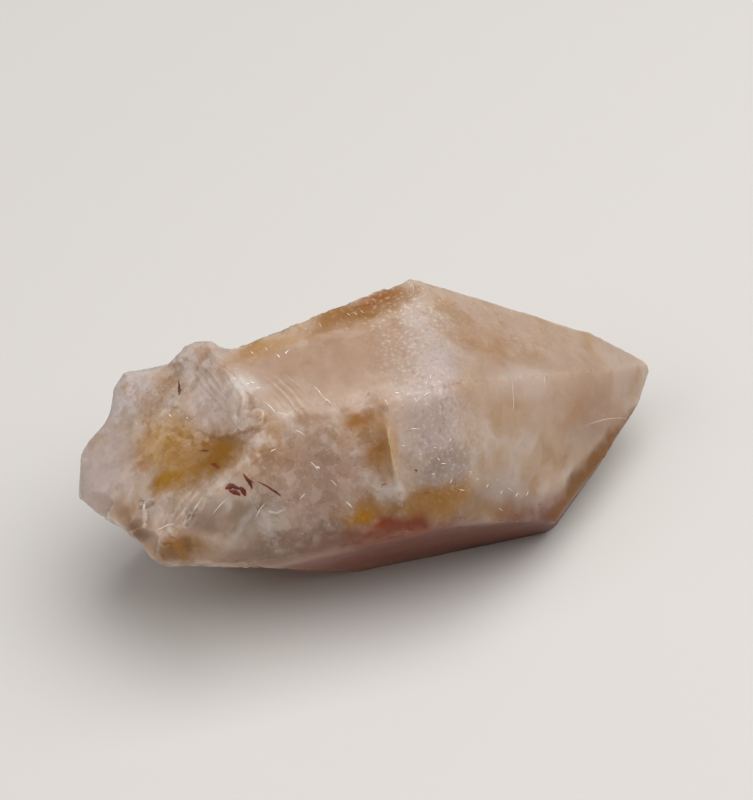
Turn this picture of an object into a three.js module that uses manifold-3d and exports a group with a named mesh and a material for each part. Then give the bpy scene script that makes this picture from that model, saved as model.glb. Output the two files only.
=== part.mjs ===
// A natural citrine (quartz) crystal point: a stout six-sided prism with a sloping, faceted
// tip at one end and a broken base at the other. It is one solid piece.
//
// Everything is worked out in the crystal's own frame, in millimetres. X runs along the
// crystal's long axis towards the tip, with x = 0 at the shoulder, where the prism ends and
// the tip faces begin. Y points to the back and Z up, and the crystal lies on its bottom
// prism face at z = 0. At the end the solid is moved so that its origin is the middle of
// the underside of its bounding box.

import * as THREE from 'three';
import { mergeVertices } from 'three/addons/utils/BufferGeometryUtils.js';
import Module from 'manifold-3d';

const wasm = await Module();
wasm.setup();

// Driving dimensions.
const PRISM_THICKNESS = 27;
const TIP_LENGTH = 25.1;
const ROUGH_BLOCK = 100;
const HEART = new THREE.Vector3(0, 0, PRISM_THICKNESS / 2);

// Growth faces. A face's normal starts square to the long axis, turned about it by `turn`
// degrees (0 to the back, 90 up), then leans towards the tip by `lean` degrees. A tip face
// of quartz leans 38.2 degrees, give or take what growth has tilted it. `reach` is the
// face's distance from the heart of the prism, at the shoulder.
const GROWTH_FACES = [
  { name: 'prism top', turn: 90, lean: 0, reach: PRISM_THICKNESS / 2 },
  { name: 'prism upper front', turn: 150, lean: 0, reach: 13.5 },
  { name: 'prism lower front', turn: 212, lean: 0, reach: 12 },
  { name: 'prism bottom', turn: 270, lean: 0, reach: PRISM_THICKNESS / 2 },
  { name: 'prism lower back', turn: 330, lean: 0, reach: 12.5 },
  { name: 'prism upper back', turn: 30, lean: 0, reach: 14.4 },
  { name: 'tip top', turn: 90, lean: 35.3, reach: 11 },
  { name: 'tip upper front', turn: 150, lean: 40.4, reach: 10 },
  { name: 'tip lower front', turn: 210, lean: 41.4, reach: 15.7 },
  { name: 'tip lower front rim', turn: 222.5, lean: 42.4, reach: 16.7 },
  { name: 'tip bottom', turn: 270, lean: 38.2, reach: 19.4 },
  { name: 'tip lower back', turn: 330, lean: 36, reach: 21.5 },
  { name: 'tip upper back, steep', turn: 30, lean: 18.2, reach: 13.7 },
  { name: 'tip upper back', turn: 30, lean: 32.4, reach: 17.1 },
  { name: 'worn corner at the tip', turn: 236, lean: 68, reach: 23.5 },
  { name: 'blunt end of the tip', turn: 0, lean: 90, reach: TIP_LENGTH },
];

// Breaks, where quartz has split off along flat faces. Each plane has a point on it and the
// direction that it faces, and what lies beyond all the planes of a break is gone. A second
// plane ends the break in a step.
const BREAKS = [
  { name: 'end', planes: [{ at: [-38.1, -2.1, 16], facing: [-0.96, 0.2, 0.1] }] },
  { name: 'upper front slope', planes: [{ at: [-21, -2, 26.1], facing: [-0.5, -0.2, 0.84] }] },
  { name: 'lower front corner', planes: [{ at: [-33.9, -9.2, 17.1], facing: [-0.55, -0.41, -0.48] }] },
  { name: 'front taper', planes: [{ at: [-20.4, -15.1, 14], facing: [-0.27, -0.7, -0.66] }] },
  { name: 'underside', planes: [{ at: [-24, 0, 0], facing: [-0.4, 0, -0.92] }] },
  { name: 'upper back rim', planes: [{ at: [-31.9, 5.9, 20.7], facing: [-0.5, 0.79, -0.05] }] },
  {
    name: 'back of the knob',
    planes: [
      { at: [-28.2, 7.2, 23], facing: [0, 0.85, 0.45] },
      { at: [-21.2, 4, 26], facing: [-1, 0, 0] },
    ],
  },
  {
    name: 'back crest',
    planes: [
      { at: [0, 8.8, 27], facing: [-0.22, 0.8, 0.56] },
      { at: [-21.2, 4, 26], facing: [1, 0, 0] },
    ],
  },
  {
    name: 'step at the shoulder',
    planes: [
      { at: [-6.8, -8.9, 22], facing: [0.1, -0.86, 0.5] },
      { at: [-6.7, -10, 22], facing: [-1, 0.05, -0.05] },
    ],
  },
];

// Conchoidal hollows, where shells of quartz have flaked away: the middle of each hollow's
// bulb of force, its three radii, and how far it is turned about Z and then leaned about X.
const HOLLOWS = [
  { name: 'window in the slope', centre: [-36.7, -9.6, 42.5], radii: [24, 24, 24], turn: 0, lean: 0 },
  { name: 'shallow flake on the crest', centre: [-10, 24, 44], radii: [30, 24, 24], turn: 14, lean: 0 },
  { name: 'dish in the end', centre: [-45.5, 1, 9], radii: [10, 9, 8], turn: 10, lean: 0 },
  { name: 'flake under the back', centre: [-23, 21, 9], radii: [11, 9, 8], turn: -12, lean: 0 },
  { name: 'flake on the back', centre: [-9, 25, 20], radii: [9, 11, 8], turn: 8, lean: 20 },
  { name: 'flake under the base', centre: [-33, 3, -6], radii: [8, 10, 9], turn: 20, lean: 0 },
];
const HOLLOW_DETAIL = 9;
const RIPPLES = 9;
const RIPPLE_DEPTH = 0.012;

// Corners closer than this are one corner.
const SAME_CORNER = 1e-4;

function toSolid(geometry) {
  geometry.deleteAttribute('normal');
  geometry.deleteAttribute('uv');
  const merged = mergeVertices(geometry, SAME_CORNER);
  return new wasm.Manifold(new wasm.Mesh({
    numProp: 3,
    vertProperties: new Float32Array(merged.attributes.position.array),
    triVerts: new Uint32Array(merged.index.array),
  }));
}

// A block that fills everything beyond the plane through `point` that faces `normal`.
function beyond(normal, point) {
  const block = new THREE.BoxGeometry(2 * ROUGH_BLOCK, 2 * ROUGH_BLOCK, ROUGH_BLOCK);
  block.translate(0, 0, ROUGH_BLOCK / 2);
  const up = new THREE.Vector3(0, 0, 1);
  block.applyQuaternion(new THREE.Quaternion().setFromUnitVectors(up, normal));
  block.translate(point.x, point.y, point.z);
  return toSolid(block);
}

function beyondPlane({ at, facing }) {
  return beyond(new THREE.Vector3(...facing).normalize(), new THREE.Vector3(...at));
}

function growthNormal({ turn, lean }) {
  const around = THREE.MathUtils.degToRad(turn);
  const forward = THREE.MathUtils.degToRad(lean);
  const side = Math.cos(forward);
  return new THREE.Vector3(Math.sin(forward), side * Math.cos(around), side * Math.sin(around));
}

// A hollow's shape: an ellipsoid whose surface carries shallow rings, like the ripples on
// a conchoidal fracture.
function hollow({ centre, radii, turn, lean }) {
  const shape = new THREE.IcosahedronGeometry(1, HOLLOW_DETAIL);
  const spots = shape.attributes.position;
  const spot = new THREE.Vector3();
  for (let i = 0; i < spots.count; i += 1) {
    spot.fromBufferAttribute(spots, i);
    const ring = Math.sin(RIPPLES * Math.acos(THREE.MathUtils.clamp(spot.x, -1, 1)));
    spot.multiplyScalar(1 + RIPPLE_DEPTH * ring);
    spots.setXYZ(i, spot.x, spot.y, spot.z);
  }
  shape.scale(radii[0], radii[1], radii[2]);
  shape.rotateX(THREE.MathUtils.degToRad(lean));
  shape.rotateZ(THREE.MathUtils.degToRad(turn));
  shape.translate(centre[0], centre[1], centre[2]);
  return toSolid(shape);
}

function crystalSolid() {
  let solid = toSolid(new THREE.BoxGeometry(ROUGH_BLOCK, ROUGH_BLOCK, ROUGH_BLOCK));
  for (const face of GROWTH_FACES) {
    const normal = growthNormal(face);
    const point = HEART.clone().addScaledVector(normal, face.reach);
    solid = solid.subtract(beyond(normal, point));
  }
  for (const { planes } of BREAKS) {
    solid = solid.subtract(planes.map(beyondPlane).reduce((lost, next) => lost.intersect(next)));
  }
  for (const chip of HOLLOWS) {
    solid = solid.subtract(hollow(chip));
  }
  return solid;
}

function toGeometry(solid) {
  const mesh = solid.getMesh();
  const geometry = new THREE.BufferGeometry();
  const positions = new THREE.BufferAttribute(new Float32Array(mesh.vertProperties), 3);
  geometry.setAttribute('position', positions);
  geometry.setIndex(new THREE.BufferAttribute(new Uint32Array(mesh.triVerts), 1));
  geometry.computeBoundingBox();
  const box = geometry.boundingBox;
  geometry.translate(-(box.min.x + box.max.x) / 2, -(box.min.y + box.max.y) / 2, -box.min.z);
  geometry.computeVertexNormals();
  return geometry;
}

const milkyCitrine = new THREE.MeshStandardMaterial({
  color: 0xbfa893,
  roughness: 0.25,
  metalness: 0,
});

const crystal = new THREE.Mesh(toGeometry(crystalSolid()), milkyCitrine);
crystal.name = 'crystal_point';

const part = new THREE.Group();
part.add(crystal);

export default part;
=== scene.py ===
import math

import bmesh
import bpy
import numpy as np
from mathutils import Matrix, Vector, noise
from mathutils.bvhtree import BVHTree


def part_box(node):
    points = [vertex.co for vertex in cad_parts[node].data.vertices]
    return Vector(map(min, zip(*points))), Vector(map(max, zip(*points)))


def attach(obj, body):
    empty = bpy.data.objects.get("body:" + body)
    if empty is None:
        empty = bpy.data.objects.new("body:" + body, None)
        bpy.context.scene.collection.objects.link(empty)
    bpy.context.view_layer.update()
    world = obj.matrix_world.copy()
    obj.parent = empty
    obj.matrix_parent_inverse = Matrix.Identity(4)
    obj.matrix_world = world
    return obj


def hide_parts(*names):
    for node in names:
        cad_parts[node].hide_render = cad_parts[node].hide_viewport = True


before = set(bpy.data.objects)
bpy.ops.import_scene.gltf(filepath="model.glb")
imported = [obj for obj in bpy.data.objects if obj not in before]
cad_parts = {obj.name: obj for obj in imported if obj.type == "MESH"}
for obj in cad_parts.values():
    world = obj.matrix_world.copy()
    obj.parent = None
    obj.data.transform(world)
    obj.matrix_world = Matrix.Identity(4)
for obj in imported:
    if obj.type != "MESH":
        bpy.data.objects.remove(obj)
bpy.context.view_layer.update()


# ---- The crystal -------------------------------------------------------------------------
# One natural crystal of milky citrine quartz. Its tip and prism faces grew flat; the slope,
# the base end and the front were broken in shells and ledges. It is made from the frame's
# solid: meshed again in small square faces, then flaked, ridged and worn where it is broken.
MM = 0.001
TIP_LENGTH = 25.1
FRONT_REACH = 14.9
HEART_HEIGHT = 13.5
low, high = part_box("crystal_point")
SHOULDER = Vector((high.x / MM - TIP_LENGTH, low.y / MM + FRONT_REACH, low.z / MM))
CELLS_DEEP = 8
CELLS_SPAN = 0.75
SAME_POINT = 0.00004
SLIVER = 0.00013
SAME_WAY = 0.95


def place(x, y, z):
    """A point given in millimetres from the shoulder (x), the heart (y) and the ground (z), in metres."""
    return (SHOULDER + Vector((x, y, z))) * MM


def growth_normal(turn, lean):
    """The way a growth face looks: turned about the long axis from the back, leaning to the tip."""
    around, forward = math.radians(turn), math.radians(lean)
    side = math.cos(forward)
    return np.array((math.sin(forward), side * math.cos(around), side * math.sin(around)))


body = bpy.data.objects.new("citrine_crystal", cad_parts["crystal_point"].data.copy())
bpy.context.scene.collection.objects.link(body)
body.data.materials.clear()
bm = bmesh.new()
bm.from_mesh(body.data)
bmesh.ops.remove_doubles(bm, verts=bm.verts, dist=SAME_POINT)
bm.to_mesh(body.data)
bm.free()

squares = body.modifiers.new("squares", "REMESH")
squares.mode = "SHARP"
squares.octree_depth = CELLS_DEEP
squares.scale = CELLS_SPAN
squares.use_remove_disconnected = False
shaped = bpy.data.meshes.new_from_object(body.evaluated_get(bpy.context.evaluated_depsgraph_get()))
body.modifiers.clear()
body.data = shaped

# Growth faces that are still seen: turn, lean, reach from the heart, and how rough each is.
GROWTH_FACES = (
    ("prism top", 90, 0, 13.5, 0.10),
    ("prism upper front", 150, 0, 13.5, 0.15),
    ("prism lower front", 212, 0, 12.0, 0.10),
    ("prism bottom", 270, 0, 13.5, 0.05),
    ("prism lower back", 330, 0, 12.5, 0.12),
    ("prism upper back", 30, 0, 14.4, 0.12),
    ("tip top", 90, 35.3, 11.0, 0.0),
    ("tip upper front", 150, 40.4, 10.0, 0.0),
    ("tip lower front", 210, 41.4, 15.7, 0.02),
    ("tip lower front rim", 222.5, 42.4, 16.7, 0.02),
    ("tip bottom", 270, 38.2, 19.4, 0.02),
    ("tip lower back", 330, 36.0, 21.5, 0.02),
    ("tip upper back, steep", 30, 18.2, 13.7, 0.02),
    ("tip upper back", 30, 32.4, 17.1, 0.0),
    ("worn corner", 236, 68.0, 23.5, 0.1),
    ("blunt end", 0, 90.0, TIP_LENGTH, 0.1),
)
HEART = np.array((0.0, 0.0, HEART_HEIGHT))
FACE_SLACK = 0.12


def to_crystal(points):
    """Mesh points in metres as millimetres from the shoulder, the heart and the ground."""
    return points / MM - np.array(SHOULDER)


def read_points(mesh):
    found = np.empty(len(mesh.vertices) * 3, np.float32)
    mesh.vertices.foreach_get("co", found)
    return to_crystal(found.reshape(-1, 3).astype(float))


def read_normals(mesh):
    found = np.empty(len(mesh.vertices) * 3, np.float32)
    mesh.vertices.foreach_get("normal", found)
    return found.reshape(-1, 3).astype(float)


def brokenness(points, normals):
    """0 on a fresh growth face, up to 1 on a break. Points on a growth face are laid flat on it."""
    broken = np.ones(len(points))
    for _, turn, lean, reach, rough in GROWTH_FACES:
        facing = growth_normal(turn, lean)
        off = (points - HEART) @ facing - reach
        on_face = (np.abs(off) < FACE_SLACK) & (normals @ facing > SAME_WAY)
        points[on_face] -= np.outer(off[on_face], facing)
        broken[on_face] = np.minimum(broken[on_face], rough)
    return broken


bm = bmesh.new()
bm.from_mesh(body.data)
bmesh.ops.remove_doubles(bm, verts=bm.verts, dist=SLIVER)
bmesh.ops.recalc_face_normals(bm, faces=bm.faces)
bm.to_mesh(body.data)
bm.free()

# Ridges that growth and wear have rounded: start, end, how far the rounding reaches, how much.
SOFT_RIDGES = (
    ("shoulder over the front", (0, -7.4, 27), (-0.4, -14.3, 16), 4.0, 1.0),
    ("shoulder over the top", (0, 6.5, 27), (0, -7.4, 27), 2.2, 0.6),
    ("front of the top", (-18, -6.0, 27), (-0.5, -7.4, 27), 4.5, 1.0),
    ("front of the prism", (-30, -14.6, 15), (-8.5, -14.9, 14.2), 3.2, 1.0),
    ("knob", (-24.0, 5.6, 25.5), (-20.0, 4.2, 26.8), 2.2, 0.35),
    ("head of the slope", (-18.8, 3.2, 27), (-16.8, -6.5, 27), 2.2, 0.8),
    ("foot of the slope", (-24, -11.0, 21.8), (-31.5, -12.6, 18.2), 3.6, 1.0),
    ("front of the window", (-20.0, -9.0, 24.6), (-26.0, -11.3, 21.0), 4.4, 1.0),
    ("rim of the end", (-38.1, -2.1, 16), (-31.9, 5.9, 20.7), 1.6, 0.8),
    ("back of the rim", (-31.9, 5.9, 20.7), (-24.4, 6.8, 25), 1.6, 0.8),
    ("lip of the window", (-21.5, -1.0, 26), (-20.5, -8.6, 25.0), 1.5, 0.8),
    ("window", (-26.5, -2.5, 21.8), (-23.5, -8.0, 22.0), 5.5, 0.6),
    ("foot of the step", (-6.6, -12.4, 18.2), (-6.6, -15.2, 13.6), 3.4, 1.0),
    ("middle of the step", (-6.7, -8.4, 25.4), (-6.6, -12.0, 19.0), 1.2, 0.25),
)
RELAX_ROUNDS = 60

# Rounds of evening out on flat faces, of wear on edges and of blending at the rim of a break. A
# point is on a flat face, or on an edge, by how well its neighbours face its own way.
EVEN_ROUNDS = 12
FLAT_ENOUGH = 0.9995
EDGE_WEAR = 3
EDGE_TURNS = 0.985
RIM_ROUNDS = 3


def smoothstep(values):
    clipped = np.clip(values, 0.0, 1.0)
    return clipped * clipped * (3 - 2 * clipped)


def from_line(points, start, end):
    """How far each point is from the line between two points."""
    start, along = np.array(start, float), np.array(end, float) - np.array(start, float)
    share = np.clip((points - start) @ along / (along @ along), 0, 1)
    return np.linalg.norm(points - start - share[:, None] * along, axis=1)


def neighbours_mean(mesh, values):
    """The mean of each point's neighbours, for one or more numbers a point."""
    pairs = np.empty(len(mesh.edges) * 2, np.int32)
    mesh.edges.foreach_get("vertices", pairs)
    first, second = pairs[0::2], pairs[1::2]
    count = np.bincount(pairs, minlength=len(values))
    columns = [
        np.bincount(first, column[second], len(values)) + np.bincount(second, column[first], len(values))
        for column in values.T
    ]
    return np.stack(columns, axis=1) / count[:, None]


def write_points(mesh, points):
    mesh.vertices.foreach_set("co", ((points + np.array(SHOULDER)) * MM).astype(np.float32).ravel())
    mesh.update()


# Where the break bulges past the flat cuts, or falls short of them: the ends of a line, how far
# from the line it reaches, and the push. It is whole to a third of its reach, and fades from there.
WHOLE_TO_A_THIRD = 1.5
SWELLS = (
    ("saddle beside the knob", (-21.7, 3.2, 25.0), (-21.5, 3.2, 27.0), 2.6, (0, 1.4, 0.3)),
    ("upper back rim", (-31.4, 6.2, 20.9), (-28.4, 6.5, 23.0), 2.8, (-0.4, 0.7, 0.5)),
    ("head of the knob", (-24.8, 5.8, 25.3), (-23.6, 5.6, 26.0), 2.0, (-0.2, 0.5, 0.7)),
    ("back of the knob", (-21.6, 4.4, 26.6), (-21.2, 4.2, 26.6), 1.5, (0, -0.5, -0.3)),
    ("lower front corner", (-31.0, -11.6, 15.4), (-29.8, -12.8, 15.4), 2.6, (-0.65, -0.6, -0.4)),
    ("hollow by the corner", (-34.2, -5.4, 14.2), (-33.0, -7.4, 14.8), 2.6, (0.3, 0.5, 0.3)),
    ("front beside the step", (-9.0, -8.4, 25.0), (-9.0, -13.6, 16.0), 6.0, (0, -0.78, 0.45)),
)

spots = read_points(body.data)
facings = read_normals(body.data)
broken = brokenness(spots, facings)

# Points in the middle of a flat face are spread evenly in its plane.
for _ in range(EVEN_ROUNDS):
    agree = np.einsum("ij,ij->i", neighbours_mean(body.data, facings), facings)
    slide = 0.5 * (neighbours_mean(body.data, spots) - spots)
    slide -= facings * np.einsum("ij,ij->i", slide, facings)[:, None]
    spots += slide * (agree > FLAT_ENOUGH)[:, None]

for _, start, end, reach, push in SWELLS:
    near = smoothstep(WHOLE_TO_A_THIRD * (1 - from_line(spots, start, end) / reach))
    spots += np.outer(near * smoothstep(2 * broken - 1), push)
softness = np.zeros(len(spots))
for _, start, end, reach, much in SOFT_RIDGES:
    softness = np.maximum(softness, much * smoothstep(1 - from_line(spots, start, end) / reach))
for _ in range(RELAX_ROUNDS):
    spots += softness[:, None] * (neighbours_mean(body.data, spots) - spots)
write_points(body.data, spots)
facings = read_normals(body.data)
on_edge = np.einsum("ij,ij->i", neighbours_mean(body.data, facings), facings) < EDGE_TURNS
for _ in range(EDGE_WEAR):
    spots += 0.5 * (neighbours_mean(body.data, spots) - spots) * on_edge[:, None]
for _ in range(RIM_ROUNDS):
    broken = 0.5 * broken + 0.5 * neighbours_mean(body.data, broken[:, None])[:, 0]
write_points(body.data, spots)
body.data.attributes.new("broken", "FLOAT", "POINT").data.foreach_set("value", broken.astype(np.float32))

# Fans of ledges: middle, half length, half width, facing, run, step spacing and height.
FANS = (
    ("above the window", (-22.5, 0.6, 25.5), 4.4, 1.7, (-0.5, -0.25, 0.8), (2.3, -5.7, -0.6), 0.62, 0.15),
    ("head of the slope", (-19.6, -1.6, 26.7), 2.8, 1.6, (-0.4, -0.3, 0.85), (1.6, -4.2, -0.8), 0.70, 0.20),
    ("on the top", (-15.4, -4.2, 26.9), 4.0, 2.5, (0, -0.15, 1), (2.4, -6.0, -0.2), 0.66, 0.13),
    ("left of the foot", (-27.3, -10.4, 20.2), 3.0, 2.2, (-0.3, -0.4, 0.85), (2.6, 1.1, 1.6), 0.95, 0.20),
    ("foot", (-22.4, -12.2, 19.2), 3.2, 2.4, (0, -0.87, 0.5), (1.7, 1.2, 1.6), 1.05, 0.14),
    ("corner by the end", (-31.4, -7.2, 18.6), 1.8, 1.3, (-0.5, -0.2, 0.84), (1.6, -0.6, 0.8), 0.70, 0.26),
    ("front of the base", (-14.5, -11.5, 18.8), 6.0, 4.0, (0, -0.87, 0.5), (1.0, 0.25, 0.4), 1.50, 0.04),
)

# The break that shows most is meshed twice as finely, so that ridges and ledges have a shape.
FINE_ENDS = -6.0
FINE_FACES_UP = 0.9
FINE_ROUGHNESS = 1.1
bm = bmesh.new()
bm.from_mesh(body.data)
layer = bm.verts.layers.float["broken"]
fine = []
for edge in bm.edges:
    middle = to_crystal(np.array((edge.verts[0].co + edge.verts[1].co) / 2))
    upward = edge.verts[0].normal.z + edge.verts[1].normal.z > FINE_FACES_UP
    rough = edge.verts[0][layer] + edge.verts[1][layer] > FINE_ROUGHNESS
    ledged = any(np.linalg.norm(middle - np.array(fan[1])) < fan[2] for fan in FANS)
    if upward and middle[0] < FINE_ENDS and (rough or ledged):
        fine.append(edge)
bmesh.ops.subdivide_edges(bm, edges=fine, cuts=1, use_grid_fill=True)
bm.to_mesh(body.data)
bm.free()


def noise_field(points, grain, start):
    """Smooth noise from -1 to 1 whose lumps are about this many millimetres across."""
    shift = Vector((start, 0, 0))
    return np.array([noise.noise(Vector(point / grain) + shift) for point in points])


# Ribs round a conchoidal flake, and the steps in a fan of ledges.
RIB_SPACING = 0.9
RIB_HEIGHT = 0.004
FLAKE_REACH = 1.5
FAN_OPENS = 0.03
FAN_DEPTH = 1.5
FAN_CORE = 1.6
STEP_FACE = 0.78
NEVER_NIL = 1e-6


def flake(points, spot, facing, radius, depth):
    """Takes a shell of quartz off: a ball of this radius bites this deep, with ribs round its middle."""
    facing = np.array(facing, float) / np.linalg.norm(facing)
    centre = np.array(spot, float) + facing * (radius - depth)
    away = points - centre
    far = np.maximum(np.linalg.norm(away, axis=1), NEVER_NIL)
    from_middle = np.arccos(np.clip(-(away @ facing) / far, -1, 1)) * radius
    edge = radius + RIB_HEIGHT * np.sin(from_middle * math.tau / RIB_SPACING)
    reach = FLAKE_REACH * math.sqrt(2 * radius * depth)
    inside = (far < edge) & (np.linalg.norm(points - np.array(spot, float), axis=1) < reach)
    points[inside] += (away * (edge / far - 1)[:, None])[inside]


def ledges(points, facings, middle, long, wide, run, spacing, height, wander):
    """How far a fan of broken steps stands up: steps run along `run`, `spacing` apart."""
    run = np.array(run, float) / np.linalg.norm(run)
    away = points - np.array(middle, float)
    across = np.cross(run, np.array(facings, float) / np.linalg.norm(facings))
    along_run, over_run = away @ run, away @ across
    fan = 1 + FAN_OPENS * along_run
    turns = over_run / (spacing * fan) + wander
    rise = turns - np.floor(turns)
    step = np.where(rise < STEP_FACE, rise / STEP_FACE, (1 - rise) / (1 - STEP_FACE)) - 0.5
    deep = np.linalg.norm(away, axis=1) > FAN_DEPTH + np.hypot(along_run, over_run)
    fade = smoothstep(FAN_CORE * (1 - np.sqrt((along_run / long) ** 2 + (over_run / wide) ** 2)))
    return np.where(deep, 0, height * step * fade)


# Petals of the thin shell that ends above the window: middle and radius of each. The shell fades
# out towards its back, and at its left end.
PETALS = (
    (-24.9, -0.6, 23.4, 1.5), (-24.2, -2.0, 23.2, 1.3), (-23.3, -3.0, 23.4, 1.3), (-22.3, -3.9, 23.8, 1.35),
    (-21.2, -4.7, 24.4, 1.25), (-20.0, -5.2, 25.2, 1.2), (-18.9, -5.9, 26.0, 1.1),
    (-24.0, 1.6, 24.8, 2.6), (-22.4, -0.6, 25.2, 2.8), (-21.0, -2.6, 25.4, 2.2),
)
PETALS_BACK = (-23.4, 3.6, 25.8)
PETALS_SPAN = 6.0
PETALS_GAP = 0.25
PETALS_START = -25.8
PETALS_RAMP = 3.5
PETAL_HEIGHT = 0.36
PETAL_EDGE = 0.24

# Flakes that were struck off: spot, facing, radius of the shell and how deep it bites.
FLAKES = (
    ("back of the knob", (-27.3, 6.9, 23.6), (-0.2, 0.6, 0.75), 7.0, 0.50),
    ("outer rim", (-36.4, -3.4, 16.2), (-0.6, -0.5, 0.6), 7.0, 0.22),
    ("lower corner", (-32.6, -10.2, 16.9), (-0.4, -0.7, 0.5), 3.6, 0.35),
    ("lower corner edge", (-30.6, -13.0, 16.6), (-0.2, -0.9, 0.35), 2.4, 0.35),
    ("brown pit", (-29.9, -12.9, 17.9), (-0.2, -0.8, 0.5), 1.0, 0.45),
    ("second brown pit", (-28.2, -13.5, 17.2), (0, -0.87, 0.5), 0.9, 0.35),
    ("first chip on the back edge", (-6.6, 6.0, 27.0), (0, 0.3, 0.95), 0.7, 0.20),
    ("second chip on the back edge", (-5.8, 6.1, 27.0), (0, 0.3, 0.95), 0.6, 0.18),
    ("third chip on the back edge", (-4.8, 6.1, 27.0), (0, 0.3, 0.95), 0.8, 0.22),
    ("chip on the tip's back edge", (17.6, 9.2, 14.6), (0.5, 0.4, 0.75), 2.2, 0.25),
    ("chip on the tip's front edge", (19.3, -0.4, 6.3), (0.6, -0.75, -0.1), 1.8, 0.22),
)

# Places that stay smooth on the breaks: middle, reach and how smooth.
CALM_PLACES = (
    (-22.5, -1.5, 25.0, 4.5, 1.0),
    (-15.0, -6.8, 26.5, 5.0, 1.0),
    (-9.5, -7.6, 26.0, 5.5, 1.0),
    (-12.5, -8.5, 24.5, 5.0, 1.0),
    (-31.0, -3.0, 20.0, 5.0, 1.0),
    (-22.0, 4.5, 26.0, 3.5, 0.8),
    (-25.2, -5.6, 21.8, 7.0, 1.0),
    (-35.0, 1.0, 18.0, 8.0, 1.0),
    (-29.0, 4.5, 22.8, 5.0, 0.9),
    (-13.0, -11.0, 19.5, 9.0, 0.75),
    (-22.0, -11.5, 19.5, 6.0, 0.5),
)

spots = read_points(body.data)
facings = read_normals(body.data)
broken = np.empty(len(spots), np.float32)
body.data.attributes["broken"].data.foreach_get("value", broken)
calm = np.zeros(len(spots))
for *middle, reach, much in CALM_PLACES:
    near = smoothstep(WHOLE_TO_A_THIRD * (1 - np.linalg.norm(spots - np.array(middle), axis=1) / reach))
    calm = np.maximum(calm, much * near)

# Lumps of three sizes on the breaks: grain, where its noise starts, and height. The two small
# sizes all but go where it is calm.
LUMPS = ((5.5, 3.0, 0.26), (1.9, 11.0, 0.12), (0.75, 23.0, 0.03))
CALMED = 0.8
slow, middling, quick = (noise_field(spots, grain, start) for grain, start, _ in LUMPS)
heave, ripple, grit = (tall for _, _, tall in LUMPS)
height = broken * (heave * slow + (1 - CALMED * calm) * (ripple * middling + grit * quick))

# A mosaic of split facets in two sizes, each leaning its own way, where the breaks are roughest:
# size and lean.
FACETS = ((3.6, 0.11), (1.3, 0.13))
MOSAIC_BEND = 0.9
MOSAIC_FROM = 0.3
CALM_ENOUGH = 0.9
LEAN_SEED = 31.7


def facets(points, grain, lean):
    """How far each point of a mosaic of leaning facets stands up."""
    rise = np.empty(len(points))
    for index, spot in enumerate(points / grain):
        cell = noise.voronoi(Vector(spot))[1][0]
        tilt = noise.cell_vector(cell * LEAN_SEED) - Vector((0.5, 0.5, 0.5))
        rise[index] = tilt.dot(Vector(spot) - cell)
    return rise * grain * lean


rugged = (broken > MOSAIC_FROM) & (calm < CALM_ENOUGH)
bent = spots[rugged] + MOSAIC_BEND * np.stack([slow, middling, slow + middling], axis=1)[rugged]
share = (smoothstep(2 * (broken - MOSAIC_FROM)) * (1 - calm))[rugged]
for grain, lean in FACETS:
    height[rugged] += facets(bent, grain, lean) * share
spots += facings * height[:, None]

# Flakes come off first, then ledges and petals stand up. Ledges bend with the slow lumps and
# jitter with the middling ones, and only edges sharper than this many degrees stay hard.
LEDGES_BEND = 0.5
LEDGES_JITTER = 0.35
SHARP_ANGLE = 55
for _, spot, facing, radius, depth in FLAKES:
    flake(spots, spot, facing, radius, depth)
wander = LEDGES_BEND * slow + LEDGES_JITTER * middling
relief = np.zeros(len(spots))
for _, middle, long, wide, facing, run, spacing, tall in FANS:
    relief += ledges(spots, facing, middle, long, wide, run, spacing, tall, wander)
petal = np.zeros(len(spots))
for *middle, radius in PETALS:
    inward = radius - np.linalg.norm(spots - np.array(middle), axis=1)
    petal = np.maximum(petal, smoothstep(inward / PETAL_EDGE))
petal *= smoothstep(np.linalg.norm(spots - np.array(PETALS_BACK), axis=1) / PETALS_SPAN - PETALS_GAP)
petal *= smoothstep((spots[:, 0] - PETALS_START) / PETALS_RAMP)
spots += facings * (relief + PETAL_HEIGHT * petal)[:, None]
spots[:, 2] = np.maximum(spots[:, 2], 0)
write_points(body.data, spots)

body.data.set_sharp_from_angle(angle=math.radians(SHARP_ANGLE))
for polygon in body.data.polygons:
    polygon.use_smooth = True

# How far each point stands out from its neighbours: ridges are worn white, and hollows are drawn darker
# brown.
RIDGE_HEIGHT = 0.012
RIDGE_ROUNDS = 4
RIDGE_KEPT = 0.3
RIDGES_FROM = 0.4
spots = read_points(body.data)
stands = np.einsum("ij,ij->i", spots - neighbours_mean(body.data, spots), read_normals(body.data))
for _ in range(RIDGE_ROUNDS):
    stands = RIDGE_KEPT * stands + (1 - RIDGE_KEPT) * neighbours_mean(body.data, stands[:, None])[:, 0]
ridge = np.clip(stands * smoothstep(2 * (broken - RIDGES_FROM)) / RIDGE_HEIGHT, -1, 1).astype(np.float32)
body.data.attributes.new("ridge", "FLOAT", "POINT").data.foreach_set("value", ridge)


def linear(code):
    """An sRGB hex colour as linear red, green and blue with a full alpha."""
    shares = [int(code[i:i + 2], 16) / 255 for i in (1, 3, 5)]
    return (*[c / 12.92 if c <= 0.04045 else ((c + 0.055) / 1.055) ** 2.4 for c in shares], 1)


def add(tree, kind, inputs=None, **settings):
    """Adds a node, sets its properties, and fills its inputs with numbers or with links from sockets."""
    node = tree.nodes.new(kind)
    for name, value in settings.items():
        setattr(node, name, value)
    for name, value in (inputs or {}).items():
        if isinstance(value, bpy.types.NodeSocket):
            tree.links.new(value, node.inputs[name])
        else:
            node.inputs[name].default_value = value
    return node
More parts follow.
